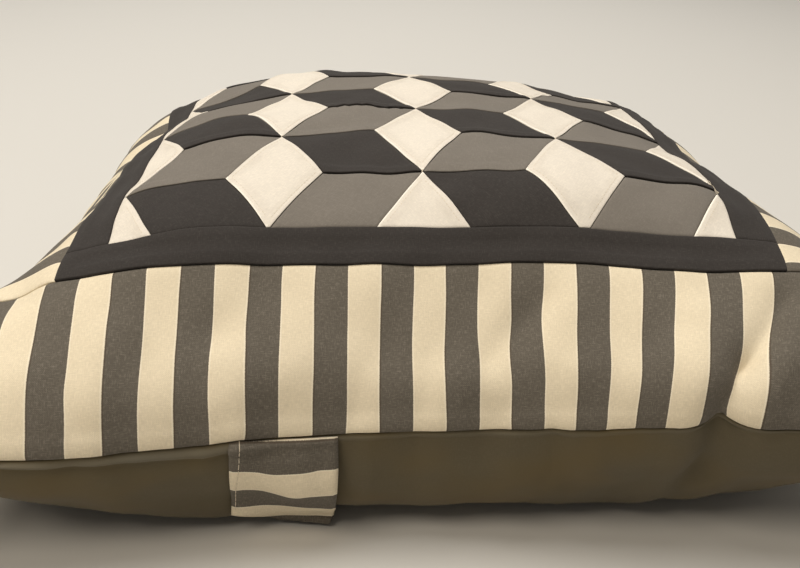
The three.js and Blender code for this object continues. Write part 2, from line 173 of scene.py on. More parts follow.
def foldsAt(u, v, folds):
    rise = np.zeros_like(u)
    for fromU, fromV, toU, toV, width, height in folds:
        alongU, alongV = toU - fromU, toV - fromV
        share = np.clip(((u - fromU) * alongU + (v - fromV) * alongV) / (alongU ** 2 + alongV ** 2), 0, 1)
        away = np.hypot(u - fromU - share * alongU, v - fromV - share * alongV)
        rise += height * np.exp(-((away / width) ** 2))
    return rise


# Soft unevenness of about one unit, with no repeat
def ripple(u, v, wavelength, seed):
    waves = 26
    draw = np.random.default_rng(seed)
    total = np.zeros_like(u)
    for _ in range(waves):
        turn, length = draw.uniform(0, 2 * math.pi), wavelength * draw.uniform(0.7, 1.5)
        start = draw.uniform(0, 2 * math.pi)
        total += np.sin((u * math.cos(turn) + v * math.sin(turn)) * 2 * math.pi / length + start)
    return total / math.sqrt(waves / 2)


# Small gathers along all four sides, as folds
def seamPuckers(rise):
    gather = relief["puckers"]
    draw = np.random.default_rng(gather["seed"])
    end = cover["half"] - gather["margin"]
    rows = []
    for side in range(4):
        place = -end
        while place < end:
            inward = draw.uniform(*gather["reach"])
            skew = draw.uniform(-gather["skew"], gather["skew"]) * inward
            ends = [(place, 1 - cover["half"]), (place + skew, inward - cover["half"])]
            turned = [[(x, y), (-y, x), (-x, -y), (y, -x)][side] for x, y in ends]
            sign = draw.choice([-1, 1])
            rows.append((*turned[0], *turned[1], draw.uniform(*gather["width"]), sign * draw.uniform(*rise)))
            place += draw.uniform(*gather["every"])
    return rows


def normalsOf(grid):
    across = np.gradient(grid, axis=0)
    along = np.gradient(grid, axis=1)
    normal = np.cross(across, along)
    return normal / np.linalg.norm(normal, axis=2, keepdims=True)


lines = np.linspace(-cover["half"], cover["half"], cover["lattice"])
latticeU, latticeV = np.meshgrid(lines, lines, indexing="ij")
fromRim = cover["half"] - np.maximum(np.abs(latticeU), np.abs(latticeV))


def lumps(rows):
    rise = sum(size * ripple(latticeU, latticeV, wavelength, seed) for size, wavelength, seed in rows)
    return rise * np.clip(fromRim / relief["lumpMargin"], 0, 1)


def frontShape():
    height = heightAt(latticeU, latticeV)
    step = lines[1] - lines[0]
    s, t = latticeU / cover["half"], latticeV / cover["half"]
    across, along = levelRuns(height, 0, step), levelRuns(height, 1, step)
    leftPull, rightPull = -edgeAt("left", t) - across[:1], edgeAt("right", t) - across[-1:]
    nearPull, farPull = -edgeAt("near", s) - along[:, :1], edgeAt("far", s) - along[:, -1:]
    across = across + np.where(s < 0, leftPull, rightPull) * np.abs(s) ** cover["edgePower"]
    along = along + np.where(t < 0, nearPull, farPull) * np.abs(t) ** cover["edgePower"]
    for pinchU, pinchV, reachU, reachV, up in seamPinches:
        share = np.exp(-np.abs(latticeU - pinchU) / reachU - ((latticeV - pinchV) / reachV) ** 2)
        height = height + up * share
    grid = pulled(np.stack([across, along, height], 2), frontPulls)
    folds = foldsAt(latticeU, latticeV, frontFolds)
    folds += foldsAt(latticeU, latticeV, seamPuckers(relief["frontPuckers"]))
    folds += lumps(relief["frontLumps"])
    return grid + normalsOf(grid) * folds[:, :, None]


# How far down a point of the back lies, from the seam to the flat rest, and its place across
def backShares(q, halfWidth, turn):
    swell = cover["backSwell"]
    inset = (1 - np.abs(q)) * cover["half"]
    turned = np.minimum(inset / turn - swell, math.pi / 2)
    drop = (np.sin(turned) + math.sin(swell)) / (1 + math.sin(swell))
    curled = 1 - turn * (math.cos(swell) - np.cos(turned)) / halfWidth
    flatStart = 1 - turn * (math.pi / 2 + swell) / cover["half"]
    flatPlace = 1 - turn * math.cos(swell) / halfWidth
    place = np.where(np.abs(q) < flatStart, np.abs(q) / flatStart * flatPlace, curled)
    return drop, np.sign(q) * place


def backShape(front):
    def rim(row, q):
        return np.stack([np.interp(q * cover["half"], lines, row[:, k]) for k in range(3)], -1)

    s, t = latticeU / cover["half"], latticeV / cover["half"]
    turn = cover["seamHeight"] / (1 + math.sin(cover["backSwell"]))
    halfWidth = sum(cover["outline"].values()) / 4
    dropS, placeS = backShares(s, halfWidth, turn)
    dropT, placeT = backShares(t, halfWidth, turn)
    placeS = s + (placeS - s) * (1 - np.abs(t) ** cover["backBlend"])
    placeT = t + (placeT - t) * (1 - np.abs(s) ** cover["backBlend"])
    left, right = (1 - placeS)[..., None] / 2, (1 + placeS)[..., None] / 2
    near, far = (1 - placeT)[..., None] / 2, (1 + placeT)[..., None] / 2
    grid = rim(front[0], placeT) * left + rim(front[-1], placeT) * right
    grid += rim(front[:, 0], placeS) * near + rim(front[:, -1], placeS) * far
    for corner, weight in ((front[0, 0], left * near), (front[-1, 0], right * near),
                           (front[0, -1], left * far), (front[-1, -1], right * far)):
        grid -= corner * weight
    drop = dropS * dropT
    towardsCorner = np.maximum(0, s * s * t * t - cover["restReach"]) * (1 - s ** 4) * (1 - t ** 4)
    grid[..., 2] = grid[..., 2] * (1 - drop) + byQuarter(s, t, cover["cornerRise"]) * towardsCorner
    free = np.clip((1 - drop) * relief["restFade"], 0, 1)
    grid = pulled(grid, backPulls, free * np.clip(fromRim / relief["pullMargin"], 0, 1))
    grid[..., 2] = np.maximum(0, grid[..., 2])
    folds = foldsAt(latticeU, latticeV, backFolds)
    folds += foldsAt(latticeU, latticeV, seamPuckers(relief["backPuckers"]))
    folds += lumps(relief["backLumps"])
    folds *= free * np.clip(fromRim / relief["foldMargin"], 0, 1)
    grid = grid - normalsOf(grid) * folds[..., None]
    below = front[..., 2] - np.minimum(cover["underFront"], fromRim * cover["underFrontSlope"])
    grid[..., 2] = np.maximum(0, np.minimum(grid[..., 2], below))
    return grid


# Point or normal of a lattice at flat places, in line with its neighbours
def sample(grid, u, v):
    step = lines[1] - lines[0]
    x = np.clip((np.asarray(u, float) + cover["half"]) / step, 0, cover["lattice"] - 1.000001)
    y = np.clip((np.asarray(v, float) + cover["half"]) / step, 0, cover["lattice"] - 1.000001)
    i, j = x.astype(int), y.astype(int)
    a, b = (x - i)[..., None], (y - j)[..., None]
    return (grid[i, j] * (1 - a) * (1 - b) + grid[i + 1, j] * a * (1 - b)
            + grid[i, j + 1] * (1 - a) * b + grid[i + 1, j + 1] * a * b)


# Points at flat places of a surface, lifted off it
def laidOn(surface, normals):
    def place(u, v, lift):
        normal = sample(normals, u, v)
        normal = normal / np.linalg.norm(normal, axis=-1, keepdims=True)
        return sample(surface, u, v) + normal * np.asarray(lift)[..., None]

    return place


front = frontShape()
back = backShape(front)
onFront, onBack = laidOn(front, normalsOf(front)), laidOn(back, -normalsOf(back))
print("cushion shaped")


# A piece from points in millimetres. places are flat cloth coordinates. shade is how far seam allowance shows
# through the cloth or how strongly the back's roll is painted paler as a highlight, and below nothing how
# strongly a cream edge is painted paler as a highlight.
def meshPiece(name, points, faces, material, places=None, shade=None, smooth=True):
    mesh = bpy.data.meshes.new(name)
    mesh.from_pydata(((np.asarray(points) + cover["middle"]) * mm).tolist(), [], faces)
    mesh.validate()
    if places is not None:
        mesh.attributes.new("clothPlace", "FLOAT_VECTOR", "POINT").data.foreach_set(
            "vector", np.asarray(places, np.float32).ravel())
    if shade is not None:
        mesh.attributes.new("seamUnderAndPaintedLight", "FLOAT", "POINT").data.foreach_set(
            "value", np.asarray(shade, np.float32))
    mesh.polygons.foreach_set("use_smooth", [smooth] * len(mesh.polygons))
    mesh.materials.append(material)
    mesh.update()
    piece = bpy.data.objects.new(name, mesh)
    bpy.context.scene.collection.objects.link(piece)
    return piece


def gridFaces(columns, rows, start=0, up=True):
    index = start + np.arange(columns * rows).reshape(columns, rows)
    quads = np.stack([index[:-1, :-1], index[1:, :-1], index[1:, 1:], index[:-1, 1:]], -1).reshape(-1, 4)
    return (quads if up else quads[:, ::-1]).tolist()


# Closes two layers along the loops of their edge points
def rimFaces(outer, inner):
    turn = np.roll(np.arange(len(outer)), -1)
    return [[outer[k], inner[k], inner[turn[k]], outer[turn[k]]] for k in range(len(outer))]


def gridRim(columns, rows, start=0):
    index = start + np.arange(columns * rows).reshape(columns, rows)
    return np.concatenate([index[:-1, 0], index[-1, :-1], index[:0:-1, -1], index[0, :0:-1]]).tolist()


# Points and faces of a closed sheet between two grids of points of the same size
def sheetOf(top, bottom):
    columns, rows = top.shape[:2]
    count = columns * rows
    points = np.concatenate([top.reshape(-1, 3), bottom.reshape(-1, 3)])
    faces = gridFaces(columns, rows) + gridFaces(columns, rows, count, up=False)
    faces += rimFaces(gridRim(columns, rows), gridRim(columns, rows, count))
    return points, faces


# How far from a seam the lines of a mesh lie
seamInsets = np.array([0, 0.25, 0.6, 1.1, 1.8, 2.8, 4.0, 5.2, 6.4, 7.6, 9.2, 11.5])
ridgeEdge, deepestDip = 1.5, 1.6    # how softly a pressed allowance ends, and how far a seam sinks at most


# Lines across a strip, close together by its two seams
def cutLines(low, high, step):
    insets = seamInsets[seamInsets < (high - low) / 2 - 1]
    inner = np.linspace(low + insets[-1], high - insets[-1],
                        max(2, round((high - low - 2 * insets[-1]) / step) + 1))[1:-1]
    return np.concatenate([low + insets, inner, (high - insets)[::-1]])


def smoothStep(x, low, high):
    share = np.clip((x - low) / (high - low), 0, 1)
    return share * share * (3 - 2 * share)


# Height of the cloth by its seams: the deepest dip counts, and allowance pressed under it raises a band
def seamRelief(distances, kinds, values):
    dip, ridge = np.zeros_like(distances[0]), np.zeros_like(distances[0])
    for distance, kind in zip(distances, kinds):
        depth, rounding, rise, allowance = values[kind]
        dip = np.maximum(dip, depth * np.exp(-distance / rounding))
        fading = smoothStep(distance, allowance - ridgeEdge, allowance + ridgeEdge)
        ridge = np.maximum(ridge, rise * (1 - fading))
    return np.maximum(ridge - dip, -deepestDip)


def newGroup(name, inputs, outputs):
    tree = bpy.data.node_groups.new(name, "ShaderNodeTree")
    for label, kind, value in inputs:
        socket = tree.interface.new_socket(label, in_out="INPUT", socket_type=kind)
        if value is not None:
            socket.default_value = value
    for label, kind in outputs:
        tree.interface.new_socket(label, in_out="OUTPUT", socket_type=kind)
    return tree, tree.nodes.new("NodeGroupInput"), tree.nodes.new("NodeGroupOutput")


# Short names for adding and joining shader nodes of one tree
class Wiring:
    def __init__(self, tree):
        self.tree = tree

    def join(self, value, socket):
        if isinstance(value, bpy.types.NodeSocket):
            self.tree.links.new(value, socket)
        elif value is not None:
            socket.default_value = value

    def math(self, kind, a, b=None, c=None, clamp=False):
        node = self.tree.nodes.new("ShaderNodeMath")
        node.operation = kind
        node.use_clamp = clamp
        for value, socket in zip((a, b, c), node.inputs):
            self.join(value, socket)
        return node.outputs[0]

    def scaled(self, place, x, y):
        node = self.tree.nodes.new("ShaderNodeVectorMath")
        node.operation = "MULTIPLY"
        self.join(place, node.inputs[0])
        node.inputs[1].default_value = (x, y, 1.0)
        return node.outputs[0]

    def noise(self, place, x, y, detail=2.0, roughness=0.5):
        node = self.tree.nodes.new("ShaderNodeTexNoise")
        self.join(self.scaled(place, x, y), node.inputs["Vector"])
        node.inputs["Scale"].default_value = 1.0
        node.inputs["Detail"].default_value = detail
        node.inputs["Roughness"].default_value = roughness
        return node.outputs["Fac"]

    def mix(self, share, a, b):
        node = self.tree.nodes.new("ShaderNodeMix")
        node.data_type = "RGBA"
        node.clamp_factor = True
        self.join(share, node.inputs[0])
        self.join(a, node.inputs[6])
        self.join(b, node.inputs[7])
        return node.outputs[2]

    def steps(self, value, low, high):
        node = self.tree.nodes.new("ShaderNodeMapRange")
        node.interpolation_type = "SMOOTHSTEP"
        self.join(value, node.inputs["Value"])
        self.join(low, node.inputs["From Min"])
        self.join(high, node.inputs["From Max"])
        return node.outputs["Result"]

    def split(self, place):
        node = self.tree.nodes.new("ShaderNodeSeparateXYZ")
        self.join(place, node.inputs[0])
        return node.outputs


# How often the weave's slubs, clouds and specks come to a millimetre, and how strongly they show
weaveLook = {
    "slub": (2.2, 0.42), "cloud": 0.045, "speck": 1.5, "knotTone": 0.12,
    "threads": (0.54, 0.74), "threadFleck": 0.7, "specks": (0.56, 0.74), "speckFleck": 0.5,
    "knotHeight": 0.5, "slubHeight": 1.2,
}


# Plain weave with slubs, from flat cloth places in millimetres
def weaveGroup():
    tree, given, made = newGroup(
        "plain weave",
        [("Place", "NodeSocketVector", None), ("Colour", "NodeSocketColor", (0.5, 0.5, 0.5, 1)),
         ("Fleck Colour", "NodeSocketColor", (0.8, 0.8, 0.8, 1)), ("Fleck", "NodeSocketFloat", 0.2),
         ("Streak", "NodeSocketFloat", 0.2), ("Mottle", "NodeSocketFloat", 0.1),
         ("Thread", "NodeSocketFloat", 0.8)],
        [("Colour", "NodeSocketColor"), ("Height", "NodeSocketFloat")])
    w = Wiring(tree)
    place = given.outputs["Place"]
    x, y, _ = w.split(place)
    fine, coarse = weaveLook["slub"]
    warp, weft = w.noise(place, fine, coarse), w.noise(place, coarse, fine)
    cloud = w.noise(place, weaveLook["cloud"], weaveLook["cloud"], 3.0, 0.6)
    speck = w.noise(place, weaveLook["speck"], weaveLook["speck"], 2.0, 0.6)
    turn = w.math("DIVIDE", 2 * math.pi, given.outputs["Thread"])
    over = w.math("SINE", w.math("MULTIPLY", x, turn))
    under = w.math("SINE", w.math("MULTIPLY", y, turn))
    knots = w.math("MULTIPLY", over, under)
    streaks = w.math("SUBTRACT", w.math("ADD", warp, weft), 1.0)
    tone = w.math("MULTIPLY_ADD", streaks, given.outputs["Streak"], 1.0)
    tone = w.math("MULTIPLY_ADD", w.math("SUBTRACT", cloud, 0.5), given.outputs["Mottle"], tone)
    knotTone = w.math("MULTIPLY", given.outputs["Streak"], weaveLook["knotTone"])
    tone = w.math("MULTIPLY_ADD", knots, knotTone, tone)
    tinted = tree.nodes.new("ShaderNodeVectorMath")
    tinted.operation = "SCALE"
    threads = w.steps(w.math("MAXIMUM", warp, weft), *weaveLook["threads"])
    specks = w.math("MULTIPLY", w.steps(speck, *weaveLook["specks"]), weaveLook["speckFleck"])
    flecks = w.math("MULTIPLY_ADD", threads, weaveLook["threadFleck"], specks)
    flecks = w.math("MULTIPLY", flecks, given.outputs["Fleck"])
    w.join(w.mix(flecks, given.outputs["Colour"], given.outputs["Fleck Colour"]), tinted.inputs[0])
    w.join(tone, tinted.inputs["Scale"])
    w.join(tinted.outputs[0], made.inputs["Colour"])
    slubs = w.math("MULTIPLY", streaks, weaveLook["slubHeight"])
    height = w.math("MULTIPLY_ADD", knots, weaveLook["knotHeight"], slubs)
    w.join(height, made.inputs["Height"])
    return tree


stripeLook = {
    "pitch": 30.0, "pale": 15.0,    # a repeat and its pale stripe, in millimetres
    "wander": 0.8, "wanderScale": (0.02, 0.03), "fray": 0.35, "frayScale": (0.4, 1.7), "softness": 0.18,
    "line": (0.0, 0.2, 0.4, 0.9),   # where the thin line beside a stripe's edge comes and goes
    "darkLine": (0.06, 0.036, 0.02), "darkShare": 0.55, "paleLine": (0.92, 0.83, 0.67), "paleShare": 0.5,
}


# Even woven stripes across the flat cloth: 1 on the pale stripe, and thin lines on both sides of its edges
def stripeGroup():
    tree, given, made = newGroup(
        "woven stripes",
        [("Place", "NodeSocketVector", None), ("Pitch", "NodeSocketFloat", stripeLook["pitch"]),
         ("Pale", "NodeSocketFloat", stripeLook["pale"])],
        [("Mask", "NodeSocketFloat"), ("Edge", "NodeSocketFloat"), ("Rim", "NodeSocketFloat")])
    w = Wiring(tree)
    place = given.outputs["Place"]
    across, _, _ = w.split(place)
    for size, scale in (("wander", "wanderScale"), ("fray", "frayScale")):
        drift = w.math("SUBTRACT", w.noise(place, *stripeLook[scale], 1.0), 0.5)
        across = w.math("ADD", across, w.math("MULTIPLY", drift, stripeLook[size]))
    turned = w.math("WRAP", across, given.outputs["Pitch"], 0.0)
    middle = w.math("MULTIPLY", given.outputs["Pale"], 0.5)
    away = w.math("ABSOLUTE", w.math("SUBTRACT", turned, middle))
    inside = w.math("SUBTRACT", middle, away)
    outside = w.math("SUBTRACT", away, middle)
    soft = stripeLook["softness"]
    w.join(w.steps(inside, -soft, soft), made.inputs["Mask"])
    start, full, fade, end = stripeLook["line"]
    for label, distance in (("Edge", outside), ("Rim", inside)):
        gone = w.math("SUBTRACT", 1.0, w.steps(distance, fade, end))
        w.join(w.math("MULTIPLY", w.steps(distance, start, full), gone), made.inputs[label])
    return tree


weave, stripes = weaveGroup(), stripeGroup()

cloths = {
    "cream": {"colour": (0.72, 0.66, 0.57), "fleckColour": (0.90, 0.82, 0.68), "fleck": 0.3, "streak": 0.16,
              "mottle": 0.10, "thread": 0.7, "bump": 0.10, "roughness": 0.88},
    "grey": {"colour": (0.178, 0.158, 0.134), "fleckColour": (0.28, 0.25, 0.215), "fleck": 0.25, "streak": 0.2,
             "mottle": 0.16, "thread": 0.7, "bump": 0.10, "roughness": 0.9},
    "charcoal": {"colour": (0.035, 0.030, 0.027), "fleckColour": (0.075, 0.068, 0.06), "fleck": 0.35,
                 "streak": 0.4, "mottle": 0.20, "thread": 0.7, "bump": 0.08, "roughness": 0.9},
    "stripe": {"colour": (0.120, 0.104, 0.082), "fleckColour": (0.26, 0.23, 0.19), "fleck": 0.4, "streak": 0.5,
               "mottle": 0.16, "thread": 0.8, "bump": 0.16, "roughness": 0.9},
    "back": {"colour": (0.105, 0.085, 0.050), "fleckColour": (0.15, 0.125, 0.09), "fleck": 0.2, "streak": 0.14,
             "mottle": 0.14, "thread": 0.6, "bump": 0.06, "roughness": 0.86},
    # the pale stripe and the sewing thread take what isn't said here from the cream cloth
    "paleStripe": {"colour": (0.75, 0.65, 0.475), "fleckColour": (0.90, 0.81, 0.64), "streak": 0.22},
    "sewingThread": {"colour": (0.66, 0.57, 0.44), "streak": 0.2},
}
clothFinish = {"bumpDistance": 0.0004, "specular": 0.25, "sheen": 0.06, "sheenRoughness": 0.5}
# Dark cloth shows through the cream in patches, where its allowance lies under, and a painted highlight makes
# cream edges pale
creamUnderAndPaintedEdgeLight = {
    "under": (0.50, 0.44, 0.36), "underShare": 0.22, "patch": 0.12, "patchSteps": (0.25, 0.7),
    "paintedEdgeLight": (0.97, 0.91, 0.80), "paintedEdgeLightShare": 0.7,
}
# The back is browner in clouds, and a painted highlight makes it paler where it rolls over the seam
backCloudAndPaintedRollLight = {
    "cloud": (0.118, 0.088, 0.042), "cloudScale": (0.014, 0.02), "cloudSteps": (0.42, 0.64),
    "roll": (0.165, 0.150, 0.115), "paintedRollLightShare": 0.55,
}


def clothMaterial(name, values, striped=False, showThroughAndEdgeLight=False, cloudAndPaintedRollLight=False):
    material = bpy.data.materials.new(name)
    material.use_nodes = True
    tree = material.node_tree
    w = Wiring(tree)
    shader = tree.nodes["Principled BSDF"]

    def held(attribute):
        node = tree.nodes.new("ShaderNodeAttribute")
        node.attribute_name = attribute
        return node.outputs

    place = held("clothPlace")["Vector"]

    def woven(v):
        node = tree.nodes.new("ShaderNodeGroup")
        node.node_tree = weave
        w.join(place, node.inputs["Place"])
        node.inputs["Colour"].default_value = (*v["colour"], 1)
        node.inputs["Fleck Colour"].default_value = (*v["fleckColour"], 1)
        for label in ("Fleck", "Streak", "Mottle", "Thread"):
            node.inputs[label].default_value = v[label.lower()]
        return node

    cloth = woven(values)
    colour, height = cloth.outputs["Colour"], cloth.outputs["Height"]
    if striped:
        pale = woven({**cloths["cream"], **cloths["paleStripe"]})
        mask = tree.nodes.new("ShaderNodeGroup")
        mask.node_tree = stripes
        w.join(place, mask.inputs["Place"])
        darkLine = w.math("MULTIPLY", mask.outputs["Edge"], stripeLook["darkShare"])
        paleLine = w.math("MULTIPLY", mask.outputs["Rim"], stripeLook["paleShare"])
        colour = w.mix(darkLine, colour, (*stripeLook["darkLine"], 1))
        lit = w.mix(paleLine, pale.outputs["Colour"], (*stripeLook["paleLine"], 1))
        colour = w.mix(mask.outputs["Mask"], colour, lit)
    if showThroughAndEdgeLight:
        shade = held("seamUnderAndPaintedLight")["Fac"]
        patchy = w.steps(w.noise(place, creamUnderAndPaintedEdgeLight["patch"], creamUnderAndPaintedEdgeLight["patch"]), *creamUnderAndPaintedEdgeLight["patchSteps"])
        share = w.math("MULTIPLY", w.math("MULTIPLY", shade, patchy, clamp=True), creamUnderAndPaintedEdgeLight["underShare"])
        colour = w.mix(share, colour, (*creamUnderAndPaintedEdgeLight["under"], 1))
        # painted highlight: the cream's edge is mixed paler, standing in for a rolled edge catching the light
        paintedEdgeLight = w.math("MULTIPLY", shade, -creamUnderAndPaintedEdgeLight["paintedEdgeLightShare"], clamp=True)
        colour = w.mix(paintedEdgeLight, colour, (*creamUnderAndPaintedEdgeLight["paintedEdgeLight"], 1))
    if cloudAndPaintedRollLight:
        shade = held("seamUnderAndPaintedLight")["Fac"]
        cloud = w.steps(w.noise(place, *backCloudAndPaintedRollLight["cloudScale"]), *backCloudAndPaintedRollLight["cloudSteps"])
        colour = w.mix(cloud, colour, (*backCloudAndPaintedRollLight["cloud"], 1))
        # painted highlight: the back is mixed paler on its roll under the seam, where light from above falls on
        # it
        colour = w.mix(w.math("MULTIPLY", shade, backCloudAndPaintedRollLight["paintedRollLightShare"]), colour, (*backCloudAndPaintedRollLight["roll"], 1))
    w.join(colour, shader.inputs["Base Color"])
    bump = tree.nodes.new("ShaderNodeBump")
    bump.inputs["Strength"].default_value = values["bump"]
    bump.inputs["Distance"].default_value = clothFinish["bumpDistance"]
    w.join(height, bump.inputs["Height"])
    w.join(bump.outputs["Normal"], shader.inputs["Normal"])
    shader.inputs["Roughness"].default_value = values["roughness"]
    shader.inputs["Specular IOR Level"].default_value = clothFinish["specular"]
    shader.inputs["Sheen Weight"].default_value = clothFinish["sheen"]
    shader.inputs["Sheen Roughness"].default_value = clothFinish["sheenRoughness"]
    return material


creamCloth = clothMaterial("cream cloth", cloths["cream"], showThroughAndEdgeLight=True)
greyCloth = clothMaterial("grey cloth", cloths["grey"])
charcoalCloth = clothMaterial("charcoal cloth", cloths["charcoal"])
stripedCloth = clothMaterial("striped cloth", cloths["stripe"], striped=True)
backCloth = clothMaterial("back cloth", cloths["back"], cloudAndPaintedRollLight=True)
print("cloths made")


panel = {
    # where the pieced columns' corners fall, in diamond sides from the left frame seam: the piecing is uneven
    "columns": [0.03, 0.43, 1.02, 1.50, 1.98, 2.50, 3.00, 3.47, 4.03, 4.50, 5.00, 5.52, 6.03],
    "beyond": {-1: -0.40, 13: 6.5},     # corners past the left and right frame seams
    "cut": 0.035, "cutTips": {3: 0.018, 9: 0.051},     # how far up the pattern the near frame seam cuts it
    # corners that are pieced off their even place: (column, phase) and how far across and up
    "nudges": {(1, 0): (1.6, 0), (1, 1): (0, 3.5), (2, 1.5): (1.2, -3), (3, 1): (0.5, -3), (3, 3): (-1.8, 0),
               (4, 2.5): (-2, 0), (5, 1): (0.3, 3), (5, 2): (1, 0), (7, 2): (1, 3), (8, 2.5): (2.2, 0),
               (9, 0): (1, 0), (10, 0.5): (0.8, -3.5), (11, 0): (1, 0)},
    "leastEdge": 0.4, "leastArea": 12,      # what the frame leaves of a tip below these is left out
    "levelSeam": 12,    # an edge that climbs less than this runs across the panel
    "boundaryStep": 2.4, "innerStep": 4.0, "bottomInset": 3.0,      # lines of the mesh
    "gap": 0.06, "tuck": 0.9,   # between two diamonds, and how far the cut edge turns under
    "pillow": 0.12, "pillowReach": 9, "lift": 2.1,      # how a diamond swells, and its height on the filling
    # the seams aren't quite straight
    "wander": {"size": 0.15, "wavelength": 46, "seeds": (21, 22), "margin": 10},
    # one seam is frayed: the corner that it starts at, its width, where it comes and goes, and its waves
    "fray": {"corner": (0, 1.5), "width": 2.6, "from": (-50, -44), "to": (-10, -2),
             "waves": [(0.9, 0.9, 0), (0.8, 1.73, 1), (0.6, 0.41, 0)]},
    # on cream, from the seam: where the allowance shows, where the edge takes a painted highlight, and how much
    "shadeBand": (2.2, 3.0, 5.6, 7.4), "paintedEdgeLightBand": (0.3, 0.9), "paintedEdgeLightDepth": 2,
}


def patternSpot(column, phase):
    side = cover["diamondSide"]
    known = panel["columns"]
    x = panel["beyond"][column] if column in panel["beyond"] else known[column]
    cut = panel["cutTips"].get(column, panel["cut"]) if phase == 0 else panel["cut"]
    offU, offV = panel["nudges"].get((column, phase), (0, 0))
    y = (phase - cut) * math.sqrt(3)
    return x * side - cover["panelHalf"] + offU, y * side - cover["panelHalf"] + offV


def areaOf(polygon):
    return sum(polygon[k - 1][0] * p[1] - p[0] * polygon[k - 1][1] for k, p in enumerate(polygon)) / 2


# The part of a polygon that lies inside the panel
def clipped(polygon):
    edge = cover["panelHalf"]
    for axis, sign in ((0, 1), (0, -1), (1, 1), (1, -1)):
        kept = []
        for k, here in enumerate(polygon):
            after = polygon[(k + 1) % len(polygon)]
            a, b = edge - sign * here[axis], edge - sign * after[axis]
            if a >= 0:
                kept.append(here)
            if (a < 0) != (b < 0):
                share = a / (a - b)
                kept.append(tuple(here[n] + (after[n] - here[n]) * share for n in range(2)))
        polygon = kept
        if len(polygon) < 3:
            return []
    tidy = [p for k, p in enumerate(polygon) if math.dist(p, polygon[k - 1]) > panel["leastEdge"]]
    return tidy if len(tidy) > 2 and areaOf(tidy) > panel["leastArea"] else []


# Every diamond of the panel as (cloth, corners), counter-clockwise
def pattern():
    found = []
    for strip in range(4):
        x = 3 * strip
        for step in range(-1, 8):
            k = step / 2
            leaning = [(x + 1, k), (x + 3, k), (x + 2, k + 0.5), (x, k + 0.5)]
            upright = [(x, k), (x + 2, k), (x + 3, k + 0.5), (x + 1, k + 0.5)]
            even = step % 2 == 0
            if strip % 2 == 0:
                found.append(("charcoal", leaning) if even else ("grey", upright))
            else:
                found.append(("grey", upright) if even else ("charcoal", leaning))
    for column in range(5):
        x = 3 * column
        for step in range(-1, 4):
            k = step + (0.5 if column % 2 == 0 else 0)
            if column == 0:
                found.append(("cream", [(-1, k), (0, k), (1, k + 0.5), (0, k + 1), (-1, k + 1)]))
            else:
                found.append(("cream", [(x, k), (x + 1, k + 0.5), (x, k + 1), (x - 1, k + 0.5)]))
    return [(cloth, clipped([patternSpot(*c) for c in corners])) for cloth, corners in found]


# Flat places moved to where their seams really run
def seamWander(points):
    u, v = points[:, 0], points[:, 1]
    wander, fray = panel["wander"], panel["fray"]
    free = np.clip((cover["panelHalf"] - np.maximum(np.abs(u), np.abs(v))) / wander["margin"], 0, 1)
    du, dv = [wander["size"] * ripple(u, v, wander["wavelength"], seed) * free for seed in wander["seeds"]]
    near = np.exp(-((v - patternSpot(*fray["corner"])[1]) / fray["width"]) ** 2)
    near = near * smoothStep(u, *fray["from"]) * (1 - smoothStep(u, *fray["to"]))
    dv = dv + near * sum(size * np.sin(u * often + start) for size, often, start in fray["waves"])
    return np.stack([u + du, v + dv], 1)


# Distance of flat places from each edge of a diamond
def edgeDistances(points, corners):
    rows = []
    for k, start in enumerate(corners):
        end = corners[(k + 1) % len(corners)]
        along = np.subtract(end, start) / math.dist(start, end)
        rows.append((points[:, 1] - start[1]) * along[0] - (points[:, 0] - start[0]) * along[1])
    return np.maximum(0, np.array(rows))


# The place in a diamond that lies furthest from its edges, and how far
def innerMiddle(corners):
    low, high = np.min(corners, 0), np.max(corners, 0)
    spots = np.stack(np.meshgrid(*[np.linspace(low[n], high[n], 41) for n in range(2)]), -1).reshape(-1, 2)
    depth = edgeDistances(spots, corners).min(0)
    return spots[depth.argmax()], depth.max()


# What each edge of a diamond is sewn to: the frame, the diamond beside it, or the one nearer or further
def edgeKinds(corners, cloth):
    kinds = []
    edge = cover["panelHalf"] - 0.01
    for k, start in enumerate(corners):
        end = corners[(k + 1) % len(corners)]
        if (abs(start[0]) > edge and abs(end[0]) > edge) or (abs(start[1]) > edge and abs(end[1]) > edge):
            kinds.append("frame")
        elif cloth == "cream":
            kinds.append("beside")
        elif abs(start[1] - end[1]) < panel["levelSeam"]:
            side, tone = "near" if end[0] > start[0] else "far", "Dark" if cloth == "charcoal" else "Grey"
            kinds.append(side + tone)
        else:
            kinds.append("besideCream")
    return kinds


patchSeams = {   # dip, rounding, ridge over the allowance, width of the allowance
    "frame": (0.6, 0.5, 0.0, 6), "beside": (0.4, 0.3, 0.25, 6), "besideCream": (0.65, 0.5, 0.0, 6),
    "nearDark": (0.3, 0.2, 0.7, 6), "farGrey": (0.8, 0.65, 0.0, 6),
    "nearGrey": (0.35, 0.3, 0.4, 6), "farDark": (0.55, 0.5, 0.0, 6),
}


def patchLift(distances, kinds):
    pillow = panel["pillow"] * (1 - np.exp(-distances.min(0) / panel["pillowReach"]))
    return panel["lift"] + seamRelief(distances, kinds, patchSeams) + pillow
